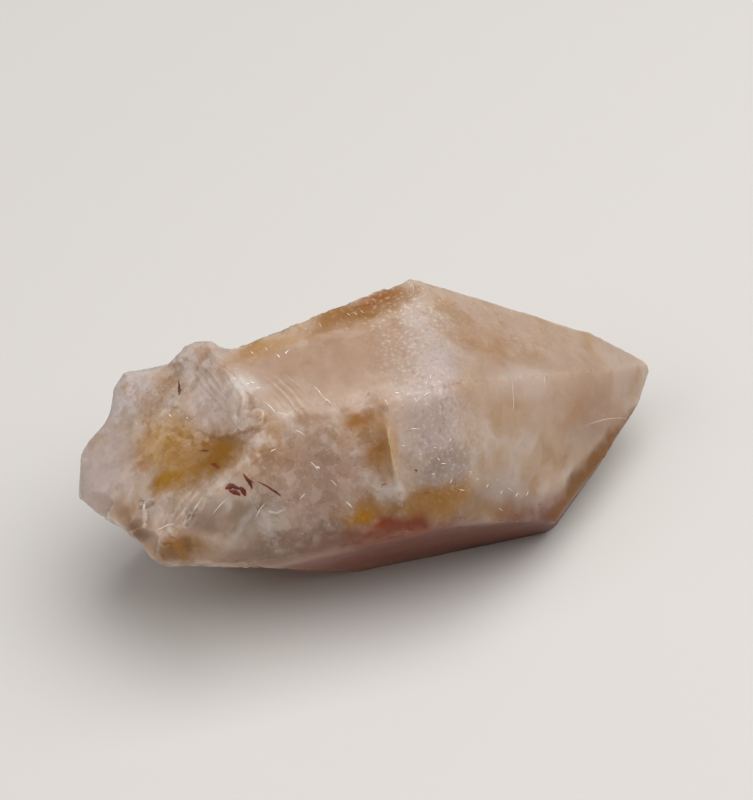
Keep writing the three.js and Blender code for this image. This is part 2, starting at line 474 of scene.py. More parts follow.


# Milky citrine quartz, IOR 1.544: part of the light goes through, tinted honey by iron, and part is scattered
# by the milk. Grown faces are satin, fresh breaks are glassy. The gloss is held back, so that the undersides
# keep their red brown, partly iron and partly painted shade, and don't mirror the pale floor.
QUARTZ_IOR = 1.544
QUARTZ_CLEAR = 0.45
QUARTZ_GLOSS = 0.2
MILK = 0.75
MILK_REACH = (3.2, 2.3, 1.6)
HONEY = "#F7E3C4"
HONEY_DENSITY = 55
quartz = bpy.data.materials.new("milky citrine quartz")
quartz.use_nodes = True
tree = quartz.node_tree
surface = tree.nodes["Principled BSDF"]
object_place = add(tree, "ShaderNodeTexCoord").outputs["Object"]
in_mm = add(tree, "ShaderNodeMapping", {0: object_place, 1: tuple(-SHOULDER), 3: (1 / MM,) * 3}).outputs[0]
broken_here = add(tree, "ShaderNodeAttribute", attribute_name="broken").outputs["Fac"]
ridge_here = add(tree, "ShaderNodeAttribute", attribute_name="ridge").outputs["Fac"]

# Clouds bend every patch of colour, so that none has a clean edge: the grain of each swirl, and
# how far it bends. The glows deep in the stone take one bend more, in steps of their own, because
# the shader can't hold the places of all the patches and all the glows at once.
BENDS = ((3.6, 2.6), (1.2, 0.7))
GLOW_BEND = (1.8, 0.5)


def bend(place, source, grain, amount):
    """Moves a place by up to half this many millimetres, in swirls of this grain."""
    swirl = add(tree, "ShaderNodeTexNoise", {"Vector": source, "Scale": 1 / grain, "Detail": 1})
    centred = {0: swirl.outputs["Color"], 1: (0.5,) * 3}
    about_nil = add(tree, "ShaderNodeVectorMath", centred, operation="SUBTRACT").outputs[0]
    scaled = add(tree, "ShaderNodeVectorMath", {0: about_nil, "Scale": amount}, operation="SCALE").outputs[0]
    return add(tree, "ShaderNodeVectorMath", {0: place, 1: scaled}).outputs[0]


place_here = in_mm
for grain, amount in BENDS:
    place_here = bend(place_here, in_mm, grain, amount)

# Noises that drive the layers: big clouds, streaks of iron, feathers of tiny healed cracks, two
# fine mottles and the flecks of the veil. Each has its place, a grain in millimetres, a detail
# and a roughness.
NOISES = {
    "cloud": (place_here, 6.5, 2, 0.5),
    "iron": (place_here, 4.2, 2, 0.55),
    "feathers": (place_here, 2.6, 3, 0.6),
    "mottle": (in_mm, 1.3, 2, 0.6),
    "grain": (in_mm, 0.5, 2, 0.65),
    "fleck": (in_mm, 0.42, 2, 0.6),
}
drive = {
    name: add(tree, "ShaderNodeTexNoise", {
        "Vector": where, "W": index, "Scale": 1 / grain, "Detail": detail, "Roughness": roughness,
    }, noise_dimensions="4D").outputs["Fac"]
    for index, (name, (where, grain, detail, roughness)) in enumerate(NOISES.items())
}
drive["ridge"] = ridge_here

# Split facets inside the breaks, each a little lighter or darker than the next.
SPLIT_SIZE = 1.1
SPLIT_WARP = 0.8
warp = add(tree, "ShaderNodeTexNoise", {"Vector": in_mm, "Scale": 1 / SPLIT_WARP, "Detail": 1})
moved = {0: warp.outputs["Color"], 1: (SPLIT_WARP,) * 3, 2: in_mm}
split_place = add(tree, "ShaderNodeVectorMath", moved, operation="MULTIPLY_ADD").outputs[0]
split = add(tree, "ShaderNodeTexVoronoi", {"Vector": split_place, "Scale": 1 / SPLIT_SIZE}).outputs["Color"]
drive["split"] = add(tree, "ShaderNodeSeparateXYZ", {0: split}).outputs["X"]

# The veil at the shoulder, how broken the skin is, and the crest at the back of the top say where
# the layers that need them show. Each pair is where a share starts to change and where it has
# changed; splits fade out in the milky base end and low on the front.
VEIL_MIDDLE = -1.6
VEIL_ENDS = (2.0, 6.0)
UPPER_FROM = (15.0, 19.0)
BREAKS_FROM = (0.1, 0.8)
MILKY_END = (-34.0, -28.0)
CLEAR_FOOT = (13.0, 18.0)
CREST_FROM = (-0.5, 3.5)
apart = add(tree, "ShaderNodeSeparateXYZ", {0: place_here})
along_crystal = apart.outputs["X"]
off_veil = add(tree, "ShaderNodeMath", {0: along_crystal, 1: VEIL_MIDDLE}, operation="SUBTRACT").outputs[0]
off_veil = add(tree, "ShaderNodeMath", {0: off_veil}, operation="ABSOLUTE").outputs[0]
veil_ramp = {0: off_veil, 1: VEIL_ENDS[0], 2: VEIL_ENDS[1], 3: 1, 4: 0}
upper_ramp = {0: apart.outputs["Z"], 1: UPPER_FROM[0], 2: UPPER_FROM[1]}
in_veil = add(tree, "ShaderNodeMapRange", veil_ramp).outputs[0]
upper = add(tree, "ShaderNodeMapRange", upper_ramp).outputs[0]
in_veil = add(tree, "ShaderNodeMath", {0: in_veil, 1: upper}, operation="MULTIPLY").outputs[0]
break_ramp = {0: broken_here, 1: BREAKS_FROM[0], 2: BREAKS_FROM[1], 3: 0.35, 4: 1}
end_ramp = {0: along_crystal, 1: MILKY_END[0], 2: MILKY_END[1], 3: 0.2, 4: 1}
foot_ramp = {0: apart.outputs["Z"], 1: CLEAR_FOOT[0], 2: CLEAR_FOOT[1], 3: 0.45, 4: 1}
break_share = add(tree, "ShaderNodeMapRange", break_ramp).outputs[0]
for ramp in (end_ramp, foot_ramp):
    less = add(tree, "ShaderNodeMapRange", ramp).outputs[0]
    break_share = add(tree, "ShaderNodeMath", {0: break_share, 1: less}, operation="MULTIPLY").outputs[0]
crest_ramp = {0: apart.outputs["Y"], 1: CREST_FROM[0], 2: CREST_FROM[1]}
crest = add(tree, "ShaderNodeMapRange", crest_ramp).outputs[0]
crest = add(tree, "ShaderNodeMath", {0: crest, 1: upper}, operation="MULTIPLY").outputs[0]
everywhere = add(tree, "ShaderNodeValue").outputs[0]
everywhere.default_value = 1.0

# Layers of colour, from the ground up: what drives it, the value where it is not there, the
# value where it is full, how much of it there is then, where it shows, and its colour.
GROUND_LAYERS = (
    ("cloud", 0.38, 0.62, 1.0, everywhere, "#D0B49B"),
    ("iron", 0.52, 0.72, 0.7, everywhere, "#B5894F"),
    ("feathers", 0.50, 0.66, 0.5, break_share, "#EDE3DD"),
    ("feathers", 0.46, 0.32, 0.35, break_share, "#8E6F5C"),
)
TOP_LAYERS = (
    ("feathers", 0.54, 0.72, 0.25, break_share, "#EDE3DD"),
    ("split", 0.58, 0.95, 0.16, break_share, "#F0E7E0"),
    ("split", 0.42, 0.08, 0.20, break_share, "#86705F"),
    ("mottle", 0.52, 0.72, 0.14, everywhere, "#EBDDD2"),
    ("mottle", 0.46, 0.28, 0.18, everywhere, "#98785A"),
    ("grain", 0.54, 0.72, 0.24, break_share, "#F2EAE4"),
    ("grain", 0.45, 0.28, 0.26, break_share, "#7C6450"),
    ("fleck", 0.53, 0.66, 0.42, in_veil, "#F6F0EE"),
    ("fleck", 0.43, 0.32, 0.34, in_veil, "#85756F"),
    # Painted glints: white flecks along the crest at the back of the top.
    ("fleck", 0.58, 0.68, 0.28, crest, "#FFF4E0"),
    ("feathers", 0.47, 0.36, 0.40, crest, "#B98C4C"),
    ("ridge", 0.3, 1.0, 0.30, everywhere, "#EFE6E0"),
    ("ridge", -0.3, -1.0, 0.2, everywhere, "#8A6238"),
)

# Patches of colour: middle, three radii, turn about Z and lean about Y in degrees, colour,
# how much of it there is at its middle, and how soft its edge is.
PATCHES = (
    # Darker towards the bottom: the iron's red brown, deepened as painted shade of the underside.
    ("bottom iron", (-4, -2, -1), (36, 20, 7.5), 0, 0, "#7A4A2C", 0.9, 0.6),
    ("back iron", (-14, 11, 9), (9, 5, 6), 20, 0, "#A27040", 0.6, 0.8),
    ("tip top face", (10, 2, 20), (12, 9, 9), 0, 35, "#CBB19D", 0.85, 0.5),
    ("first pink hair", (3.7, 1.0, 24.4), (1.7, 0.18, 0.9), -6, 35, "#B8877C", 0.65, 1.0),
    ("second pink hair", (4.6, 0.5, 23.7), (1.5, 0.16, 0.9), -10, 35, "#B8877C", 0.60, 1.0),
    ("third pink hair", (6.2, 0.7, 22.6), (1.4, 0.16, 0.9), 4, 35, "#BC8E84", 0.55, 1.0),
    ("ochre of the tip", (6.4, 1.6, 22.4), (5.4, 3.2, 3), 20, 30, "#C0966A", 0.6, 0.9),
    ("milk along the tip's ridge", (8.5, -2.6, 20.5), (7, 1.6, 2.4), 30, 30, "#E0D0C8", 0.6, 0.9),
    ("ochre low on the tip", (6.5, -5.2, 18.5), (4, 2.0, 3), 10, 30, "#C9A277", 0.55, 0.9),
    ("smudge by the veil", (4.6, -9.3, 16.3), (2.6, 1.6, 2.2), 0, 0, "#C0965E", 0.55, 0.9),
    ("right of the front", (17, 0.5, 11), (6, 5, 5), 20, 0, "#B4937C", 0.85, 0.8),
    ("loops of ochre", (14.5, -1.4, 13), (3.2, 2.4, 1.6), 10, 0, "#BC8C60", 0.65, 0.9),
    ("pale tip", (21.5, 6.0, 12.0), (3.4, 3.4, 3.0), 0, 0, "#CDB7A6", 0.7, 0.7),
    ("milk of the front", (6, -11.0, 12.8), (7, 2.4, 3.4), 10, 20, "#B8ABA5", 0.75, 0.8),
    ("veil of the shoulder", (-1, -1, 26.5), (2.2, 9, 3), 0, 0, "#D8CAC6", 0.85, 0.7),
    ("white of the veil", (0.9, -3.8, 26.5), (1.8, 3.0, 2.4), 0, 0, "#D6C9C7", 0.9, 0.8),
    ("lilac of the veil", (-1.5, -9, 25), (4, 4, 5), 0, 0, "#CDBEBC", 0.85, 0.7),
    ("foot of the veil", (-1.4, -12.2, 20.4), (3.6, 2.6, 3.2), 0, 0, "#AC9B94", 0.8, 0.7),
    ("beige of the top", (-10, -1, 27), (9, 5, 2.5), 0, 0, "#C4A48D", 0.85, 0.6),
    ("golden edge of the top", (-5.5, 5.6, 27), (6, 1.6, 2), 12, 0, "#A06A20", 0.85, 1.0),
    ("amber of the back edge", (-3.8, 6.4, 27), (2.6, 1.0, 1.4), 12, 0, "#A8620E", 0.7, 0.9),
    ("gold of the back edge", (2.5, 6.8, 25.2), (2.4, 1.4, 1.8), 0, 0, "#C99A58", 0.5, 1.0),
    ("gold of the crest", (-15.5, 3.0, 26.8), (4, 1.5, 1.6), 12, 0, "#C79A5A", 0.6, 0.9),
    ("gold by the step", (-8.7, -7.4, 25), (1.8, 1.6, 1.4), 0, 0, "#A8701E", 0.9, 0.8),
    ("gold under the step", (-8.0, -9.6, 22.0), (1.7, 1.9, 2.6), 0, 0, "#A06A22", 0.9, 0.8),
    ("pink of the front", (-14, -10.5, 20.5), (6, 4, 6), 0, 0, "#BA9A88", 0.75, 0.7),
    ("low front", (-18, -14, 15.5), (8, 2.2, 3.0), 0, 0, "#957A6C", 0.85, 0.8),
    # Red brown below and under the tip: partly the iron's own colour, partly painted shade of the underside.
    ("red brown below", (-5, -12.0, 8), (10, 6, 9), 0, 0, "#641E02", 0.98, 0.35),
    ("red brown under the tip", (5, -9.0, 3.0), (11, 5, 6.5), 20, 38, "#5A2008", 0.98, 0.35),
    ("pink brown below", (-16, -11.5, 6), (9, 6, 8), 0, 0, "#9A5846", 0.95, 0.6),
    ("orange corner", (-7.2, -13.4, 14.2), (5.8, 2.4, 2.2), 0, 0, "#702602", 0.97, 0.7),
    ("gold of the front", (-10.8, -12.4, 16.7), (3.0, 1.6, 1.7), 0, 0, "#A87218", 0.95, 0.9),
    ("glow of the front", (-10.4, -12.7, 16.0), (1.4, 0.8, 0.7), 0, 0, "#B07000", 0.9, 0.8),
    ("gold under the veil", (-3.6, -13.2, 17.0), (5.6, 1.7, 1.7), 0, 0, "#A67636", 0.95, 0.9),
    ("gold along the lower edge", (3.6, -12.0, 12.0), (6.4, 1.5, 1.3), 26, 36, "#AE8650", 0.7, 1.0),
    # The lower rim and underside of the tip: partly iron brown, partly painted shade.
    ("rim under the tip", (15.4, -4.6, 5.6), (12, 2.0, 2.4), 47, 0, "#744400", 0.95, 0.5),
    ("under the rim", (15, -4.0, 1.5), (9, 5, 3), 38, 0, "#6A3A12", 0.95, 0.5),
    ("milk of the rim", (-35.6, 0.5, 17.8), (4.4, 7.5, 5), 0, 0, "#D9CBC6", 0.97, 0.6),
    ("milk of the upper rim", (-31, 5.5, 21.5), (4.6, 3.4, 3.6), 0, 0, "#DFD6D6", 0.97, 0.7),
    ("knob", (-23, 4.8, 26.0), (3.8, 2.8, 2), 0, 0, "#D6C8C1", 0.9, 0.7),
    ("ochre above the window", (-29.0, -1.5, 21.5), (3.4, 3.0, 2.4), 0, 0, "#DCAF6E", 0.75, 1.0),
    ("honey of the window", (-26.5, -4.6, 21.5), (4.8, 4.4, 3.4), 0, 0, "#BE9450", 0.85, 0.9),
    ("yellow of the window", (-27.0, -2.4, 22.0), (1.3, 1.1, 1.0), 0, 0, "#B8882E", 0.85, 1.0),
    ("lilac shell", (-22.5, -1.2, 25), (4, 4.3, 2.4), 0, 0, "#DCCBC4", 0.9, 0.6),
    ("white ledges", (-19.5, -1.8, 26.8), (2.0, 1.8, 1.6), 0, 0, "#F4ECE8", 0.9, 0.8),
    ("gold of the window", (-23.2, -6.4, 22.6), (4.2, 2.9, 2.6), 0, 0, "#A06A12", 0.9, 0.9),
    ("gold left of the window", (-29.1, -6.6, 20.0), (2.6, 1.3, 1.4), 0, 0, "#AA7C12", 0.9, 0.9),
    ("grey of the foot", (-21.4, -12.2, 19.2), (3.6, 2.4, 2.4), 0, 0, "#8C8276", 0.7, 0.9),
    ("first feather of the foot", (-26.8, -11.3, 20.4), (1.9, 0.5, 0.45), 41, -32, "#EDE4E0", 0.75, 1.0),
    ("second feather of the foot", (-24.3, -11.7, 20.2), (2.0, 0.5, 0.5), 41, -32, "#E8DFDB", 0.75, 1.0),
    ("third feather of the foot", (-22.2, -12.3, 18.9), (2.2, 0.6, 0.5), 41, -32, "#DDD2CB", 0.5, 1.0),
    ("fourth feather of the foot", (-19.4, -11.9, 19.3), (2.4, 0.7, 0.6), 41, -32, "#D8CCC4", 0.5, 1.0),
    ("grey between the feathers", (-25.3, -12.3, 19.3), (1.5, 0.6, 0.45), 41, -32, "#7E7268", 0.6, 1.0),
    ("milk of the foot", (-26.6, -11.8, 19.6), (2.6, 2.0, 2.0), 0, 0, "#A08A7C", 0.8, 0.9),
    ("ochre of the low corner", (-29.0, -13.2, 17.0), (3.8, 1.5, 1.6), 0, 0, "#8E6428", 0.9, 0.9),
    ("glow of the low corner", (-29.6, -13.2, 17.4), (0.9, 0.7, 0.6), 0, 0, "#A46A0A", 0.9, 0.8),
    ("first brown pit", (-30.4, -12.9, 17.9), (0.7, 0.8, 0.8), 0, 0, "#5A3A22", 0.65, 1.0),
    ("second brown pit", (-28.2, -13.3, 17.5), (0.6, 0.8, 0.8), 0, 0, "#5A3E26", 0.65, 1.0),
    ("stain of the end", (-33.8, -6.6, 17.2), (1.4, 1.6, 1.4), 0, 0, "#9C7C56", 0.8, 0.9),
    ("brown of the end", (-32.6, -9.0, 17.2), (1.8, 2.0, 1.4), 0, 0, "#80604A", 0.8, 1.0),
)
# Glows of colour deep in the clearer quartz, seen through all the layers. Some also carry painted light and
# shade: the step wall is painted lighter, and the underside darker.
GLOWS = (
    ("window", (-24.6, -5.4, 22.2), (4.6, 3.4, 2.8), 0, 0, "#A87418", 0.6, 1.0),
    ("front of the window", (-22.7, -7.3, 23.0), (3.6, 2.4, 2.4), 0, 0, "#A07020", 0.65, 1.0),
    # Red brown below, under the tip and along the rim: partly iron, partly painted shade of the underside.
    ("red brown below", (-2, -11, 5), (14, 6, 8.2), 0, 0, "#7A2C00", 0.8, 0.4),
    ("red brown under the tip", (7.5, -8.5, 2.5), (11, 5, 6.5), 20, 38, "#702A00", 0.85, 0.4),
    ("rim", (15.4, -4.6, 5.6), (12, 2.2, 2.6), 47, 0, "#94621E", 0.8, 0.6),
    # Painted light: the step wall, shaded by the step, is painted a lighter gold.
    ("step wall", (-7.0, -9.6, 22.6), (0.9, 3.2, 4.2), 0, 0, "#E0B070", 0.65, 1.0),
    ("edge of the top", (-5.5, 5.6, 27), (6, 1.4, 2), 12, 0, "#98621A", 0.4, 1.0),
    ("front edge of the top", (-12, -7.2, 26.4), (8, 1.4, 1.4), 0, 0, "#B4947A", 0.4, 1.0),
    ("left of the window", (-29.2, -6.4, 20.0), (2.4, 1.2, 1.3), 0, 0, "#B07E10", 0.75, 1.0),
    ("front", (-10.8, -12.5, 16.4), (2.6, 1.4, 1.4), 0, 0, "#C08816", 0.75, 1.0),
    ("under the veil", (-3.6, -13.2, 16.8), (5.0, 1.5, 1.5), 0, 0, "#B88640", 0.55, 1.0),
    ("orange corner", (-7.4, -13.6, 14.2), (5.8, 2.4, 2.0), 0, 0, "#A04400", 0.95, 0.9),
    ("front edge", (-13, -14.4, 13.8), (10, 1.6, 1.5), 0, 0, "#8A543E", 0.6, 1.0),
    ("by the step", (-8.8, -7.6, 24.8), (1.8, 1.5, 1.5), 0, 0, "#B8822A", 0.6, 1.0),
    ("under the step", (-8.0, -9.6, 22.0), (1.6, 1.7, 2.4), 0, 0, "#B07A2C", 0.55, 1.0),
    ("low corner", (-29.2, -13.2, 17.2), (2.4, 1.2, 1.2), 0, 0, "#A06E1C", 0.5, 1.0),
)
place_deep = bend(place_here, place_here, *GLOW_BEND)

# Every patch is an ellipsoid whose edge is frayed by the feathers. One that isn't turned needs no
# Mapping node. A soft edge starts further in and ends further out.
EDGE_FRAY = 0.5
EDGE_IN, EDGE_OUT = 0.9, 0.45
MILK_WHITE = "#DCCABD"
colour = add(tree, "ShaderNodeRGB").outputs[0]
colour.default_value = linear(MILK_WHITE)
fray = add(tree, "ShaderNodeMath", {0: drive["feathers"], 1: 0.5}, operation="SUBTRACT").outputs[0]
for row in (*GROUND_LAYERS, *PATCHES, *TOP_LAYERS, *GLOWS):
    if row[0] in drive:
        driver, none_at, full_at, most, where, code = row
        ends = {0: drive[driver], 1: none_at, 2: full_at, 3: 0, 4: most}
        share = add(tree, "ShaderNodeMapRange", ends, interpolation_type="SMOOTHSTEP").outputs[0]
        share = add(tree, "ShaderNodeMath", {0: share, 1: where}, operation="MULTIPLY").outputs[0]
    else:
        _, middle, radii, turn, lean, code, amount, softness = row
        bent = place_deep if row in GLOWS else place_here
        if turn or lean:
            turned = (0, math.radians(lean), math.radians(turn))
            ball = {0: bent, 1: middle, 2: turned, 3: radii}
            centred = add(tree, "ShaderNodeMapping", ball, vector_type="TEXTURE").outputs[0]
        else:
            shrink = tuple(1 / radius for radius in radii)
            shift = tuple(-spot / radius for spot, radius in zip(middle, radii))
            ball = {0: bent, 1: shrink, 2: shift}
            centred = add(tree, "ShaderNodeVectorMath", ball, operation="MULTIPLY_ADD").outputs[0]
        far = add(tree, "ShaderNodeVectorMath", {0: centred}, operation="LENGTH").outputs["Value"]
        ragged = {0: fray, 1: EDGE_FRAY * softness, 2: far}
        frayed = add(tree, "ShaderNodeMath", ragged, operation="MULTIPLY_ADD").outputs[0]
        ends = {0: frayed, 1: 1 - EDGE_IN * softness, 2: 1 + EDGE_OUT * softness, 3: amount, 4: 0}
        share = add(tree, "ShaderNodeMapRange", ends, interpolation_type="SMOOTHSTEP").outputs[0]
    colour = add(tree, "ShaderNodeMix", {0: share, 6: colour, 7: linear(code)}, data_type="RGBA").outputs[2]
tree.links.new(colour, surface.inputs["Base Color"])

# Satin where the faces grew, glassier where the breaks are fresh.
SATIN, GLASSY = 0.36, 0.22
SMEAR = 0.25
polish = add(tree, "ShaderNodeMapRange", {0: broken_here, 1: 0.2, 2: 0.8, 3: SATIN, 4: GLASSY}).outputs[0]
uneven = add(tree, "ShaderNodeMath", {0: fray, 1: SMEAR, 2: polish}, operation="MULTIPLY_ADD").outputs[0]
tree.links.new(uneven, surface.inputs["Roughness"])

# Growth lines run across the long axis of the prism, and tiny pits and hackles cover everything.
LINE_SPACING = 0.55
LINE_LENGTH = 20
LINE_HEIGHT = 0.004
LINES_END = 1.5
HACKLE_GRAIN = 0.35
HACKLE_HEIGHT = 0.010
PITS_ON_FACES = 0.15
line_scale = (1 / LINE_SPACING, 1 / LINE_LENGTH, 1 / LINE_LENGTH)
stretched = add(tree, "ShaderNodeMapping", {0: in_mm, 3: line_scale}).outputs[0]
growth_lines = add(tree, "ShaderNodeTexNoise", {"Vector": stretched, "Scale": 1, "Detail": 2}).outputs["Fac"]
hackles = add(tree, "ShaderNodeTexNoise", {"Vector": in_mm, "Scale": 1 / HACKLE_GRAIN, "Detail": 2})
pit_height = PITS_ON_FACES * HACKLE_HEIGHT
ends = {0: broken_here, 1: BREAKS_FROM[0], 2: BREAKS_FROM[1], 3: pit_height, 4: HACKLE_HEIGHT}
hackle_share = add(tree, "ShaderNodeMapRange", ends).outputs[0]
straight_x = add(tree, "ShaderNodeSeparateXYZ", {0: in_mm}).outputs["X"]
ends = {0: straight_x, 1: LINES_END, 2: -LINES_END, 3: 0, 4: LINE_HEIGHT}
line_share = add(tree, "ShaderNodeMapRange", ends).outputs[0]
lines = add(tree, "ShaderNodeMath", {0: growth_lines, 1: line_share}, operation="MULTIPLY").outputs[0]
stacked = {0: hackles.outputs["Fac"], 1: hackle_share, 2: lines}
fine_height = add(tree, "ShaderNodeMath", stacked, operation="MULTIPLY_ADD")

# The breaks are covered in little cleavage facets, each tilted its own way, that glint.
FACET_SIZE = 0.7
FACET_LEAN = 0.35
facet = add(tree, "ShaderNodeTexVoronoi", {"Vector": place_here, "Scale": 1 / FACET_SIZE}).outputs["Color"]
leaning = add(tree, "ShaderNodeVectorMath", {0: facet, 1: (0.5,) * 3}, operation="SUBTRACT").outputs[0]
in_clouds = add(tree, "ShaderNodeMapRange", {0: drive["cloud"], 1: 0.4, 2: 0.6}).outputs[0]
ends = {0: broken_here, 1: 0.3, 2: 0.9, 3: 0, 4: FACET_LEAN}
facet_share = add(tree, "ShaderNodeMapRange", ends).outputs[0]
facet_share = add(tree, "ShaderNodeMath", {0: facet_share, 1: in_clouds}, operation="MULTIPLY").outputs[0]
leaning = add(tree, "ShaderNodeVectorMath", {0: leaning, "Scale": facet_share}, operation="SCALE").outputs[0]
facing_out = add(tree, "ShaderNodeNewGeometry").outputs["Normal"]
tilted = add(tree, "ShaderNodeVectorMath", {0: facing_out, 1: leaning}).outputs[0]
tilted = add(tree, "ShaderNodeVectorMath", {0: tilted}, operation="NORMALIZE").outputs[0]
bump = add(tree, "ShaderNodeBump", {
    "Height": fine_height.outputs[0], "Distance": MM, "Strength": 1, "Normal": tilted,
})
tree.links.new(bump.outputs[0], surface.inputs["Normal"])

surface.inputs["IOR"].default_value = QUARTZ_IOR
surface.inputs["Specular IOR Level"].default_value = QUARTZ_GLOSS
surface.inputs["Transmission Weight"].default_value = QUARTZ_CLEAR
surface.inputs["Subsurface Weight"].default_value = MILK
surface.inputs["Subsurface Radius"].default_value = [reach * MM for reach in MILK_REACH]
surface.inputs["Subsurface Scale"].default_value = 1
honey = add(tree, "ShaderNodeVolumeAbsorption", {"Color": linear(HONEY), "Density": HONEY_DENSITY})
tree.links.new(honey.outputs[0], tree.nodes["Material Output"].inputs["Volume"])
body.data.materials.append(quartz)
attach(body, "root")
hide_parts("crystal_point")


# ---- Iron oxide needles ------------------------------------------------------------------
# Slim red-brown needles of iron oxide, sealed in the quartz just under the broken window near the
# base end, and a few dark specks by the veil and at the tip. Each is a bent spindle under its skin.
NEEDLE_SINK = 0.02
NEEDLE_BOW = 0.06
NEEDLE_THICKNESS = 0.12
SPINDLE_SIDES = 8
FEWEST_RINGS = 8
RING_SPACING = 0.5
SPINDLE_TAPER = 0.35
crystal_skin = BVHTree.FromObject(body, bpy.context.evaluated_depsgraph_get())


def under_skin(x, y, z, sink):
    """The nearest point of the crystal's skin, moved in by this many millimetres, and its normal."""
    spot, facing, _, _ = crystal_skin.find_nearest(place(x, y, z))
    return spot - facing * sink * MM, facing


def spindle(bm, start, end, width, thickness, sink, bow):
    """A slim pointed grain that follows the skin between two places."""
    start, end = Vector(start), Vector(end)
    rings = FEWEST_RINGS + 2 * int((end - start).length / RING_SPACING)
    made = bmesh.ops.create_uvsphere(bm, u_segments=SPINDLE_SIDES, v_segments=rings, radius=0.5)["verts"]
    along = (end - start).normalized()
    _, facing = under_skin(*start.lerp(end, 0.5), sink)
    side = facing.cross(along).normalized()
    for vert in made:
        around, across, lengthwise = vert.co
        taper = 1 - SPINDLE_TAPER * abs(2 * lengthwise)
        bend = bow * (end - start).length * (1 - 4 * lengthwise * lengthwise)
        spot, up = under_skin(*(start.lerp(end, lengthwise + 0.5) + side * bend), sink)
        vert.co = spot + (side * across * width + up * around * min(width, thickness)) * MM * taper


def grains(name, rows, thickness, sink, bow):
    """One object of many spindles, given by start, end and width."""
    bm = bmesh.new()
    for start, end, width in rows:
        spindle(bm, start, end, width, thickness, sink, bow)
    bmesh.ops.recalc_face_normals(bm, faces=bm.faces)
    mesh = bpy.data.meshes.new(name)
    bm.to_mesh(mesh)
    bm.free()
    for polygon in mesh.polygons:
        polygon.use_smooth = True
    made = bpy.data.objects.new(name, mesh)
    bpy.context.scene.collection.objects.link(made)
    return made


NEEDLES = (
    ((-25.6, 3.2, 24.5), (-25.9, 1.3, 23.8), 0.34),
    ((-25.7, 2.2, 24.2), (-25.8, 1.6, 24.0), 0.50),
    ((-24.9, -5.0, 22.1), (-24.1, -5.5, 22.3), 0.20),
    ((-24.2, -7.0, 22.1), (-23.4, -8.3, 22.3), 0.34),
    ((-21.5, -10.0, 23.1), (-20.8, -10.8, 21.5), 0.34),
    ((-21.2, -10.1, 22.6), (-20.7, -10.9, 21.3), 0.42),
    ((-23.5, -10.7, 22.0), (-22.3, -10.6, 22.2), 0.70),
    ((-23.2, -10.8, 21.8), (-21.9, -11.2, 21.1), 0.62),
    ((-22.9, -10.6, 22.1), (-21.8, -10.9, 21.6), 0.45),
    ((-21.9, -10.6, 21.9), (-21.5, -11.3, 20.9), 0.62),
    ((-21.4, -10.3, 22.6), (-20.4, -10.6, 21.8), 0.20),
    ((-20.3, -10.5, 22.0), (-18.2, -11.3, 20.1), 0.22),
    ((-19.3, -10.9, 21.2), (-18.0, -11.4, 19.9), 0.26),
    ((-4.6, -11.7, 20.3), (-4.3, -11.8, 20.1), 0.20),
    ((-8.1, -11.1, 18.5), (-7.2, -10.9, 18.7), 0.12),
    ((-4.2, -13.0, 18.0), (-3.4, -13.0, 18.0), 0.08),
    ((-22.4, -2.3, 24.4), (-20.4, -4.5, 25.3), 0.05),
    ((5.4, -11.7, 10.6), (5.9, -11.6, 10.2), 0.09),
    ((21.2, 1.8, 7.0), (21.5, 2.1, 6.8), 0.16),
    ((8.3, -9.7, 9.2), (8.9, -9.4, 8.8), 0.08),
)
needles = grains("iron_oxide_needles", NEEDLES, NEEDLE_THICKNESS, NEEDLE_SINK, NEEDLE_BOW)

# Haematite and goethite: a dark wine red that goes rusty in patches.
RUST_GRAIN = 0.5 * MM
haematite = bpy.data.materials.new("haematite")
haematite.use_nodes = True
tree = haematite.node_tree
object_place = add(tree, "ShaderNodeTexCoord").outputs["Object"]
rust = add(tree, "ShaderNodeTexNoise", {"Vector": object_place, "Scale": 1 / RUST_GRAIN, "Detail": 2})
rust = add(tree, "ShaderNodeMapRange", {0: rust.outputs["Fac"], 1: 0.4, 2: 0.65}).outputs[0]
red = add(tree, "ShaderNodeMix", {0: rust, 6: linear("#4A160E"), 7: linear("#7A2C18")}, data_type="RGBA")
tree.links.new(red.outputs[2], tree.nodes["Principled BSDF"].inputs["Base Color"])
tree.nodes["Principled BSDF"].inputs["Roughness"].default_value = 0.4
needles.data.materials.append(haematite)
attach(needles, "root")
